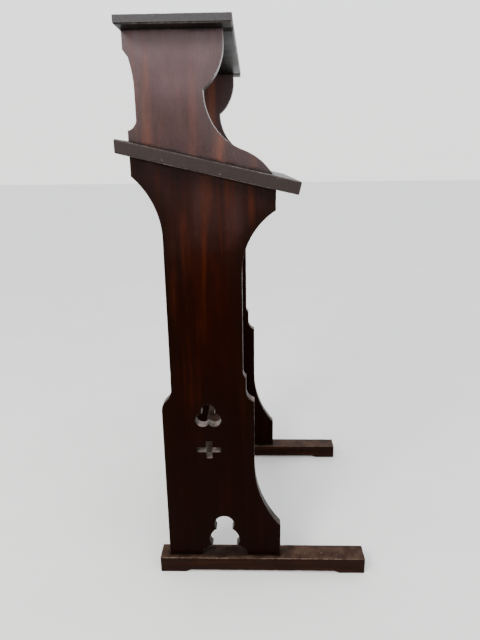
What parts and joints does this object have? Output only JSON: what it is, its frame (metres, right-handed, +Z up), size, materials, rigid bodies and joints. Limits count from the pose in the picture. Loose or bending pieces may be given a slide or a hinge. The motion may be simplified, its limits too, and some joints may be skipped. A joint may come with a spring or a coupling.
{
  "type": "photo album stand",
  "caption": "Wooden album stand: two pierced standards on sledge feet carry a sloping rest board; shaped sides above it carry a flat top board, and a low shelf ties the standards.",
  "frame": {"origin": "bottom centre of the outer box, on the floor midway between the two feet", "axes": "X runs across the width, -Y is the front, towards which the rest board slopes down, and +Z is up"},
  "size_m": [0.54, 0.452, 1.04],
  "materials": {
    "mahogany_top": "aged dark polish, worn arrises",
    "mahogany_rest": "aged dark polish, worn arrises",
    "mahogany_upper_side": "stained red-brown, semi-gloss polish",
    "mahogany_standard": "stained red-brown, semi-gloss polish",
    "mahogany_shelf": "stained red-brown, semi-gloss polish",
    "mahogany_foot": "aged dark polish, scuffed top",
    "pale_hardwood": "raw turned dowel",
    "raw_block": "raw sawn softwood darkened by age",
    "screw_steel": "dulled steel"
  },
  "bodies": {
    "root": {"rest_board": "mahogany_rest", "top_board": "mahogany_top", "low_shelf": "mahogany_shelf", "left_foot": "mahogany_foot", "left_standard": "mahogany_standard", "left_upper_side": "mahogany_upper_side", "left_rest_dowels": "pale_hardwood", "left_top_dowels": "pale_hardwood", "left_foot_screws": "screw_steel", "left_glue_blocks": "raw_block", "right_foot": "mahogany_foot", "right_standard": "mahogany_standard", "right_upper_side": "mahogany_upper_side", "right_rest_dowels": "pale_hardwood", "right_top_dowels": "pale_hardwood", "right_foot_screws": "screw_steel", "right_glue_blocks": "raw_block"}
  },
  "joints": []
}
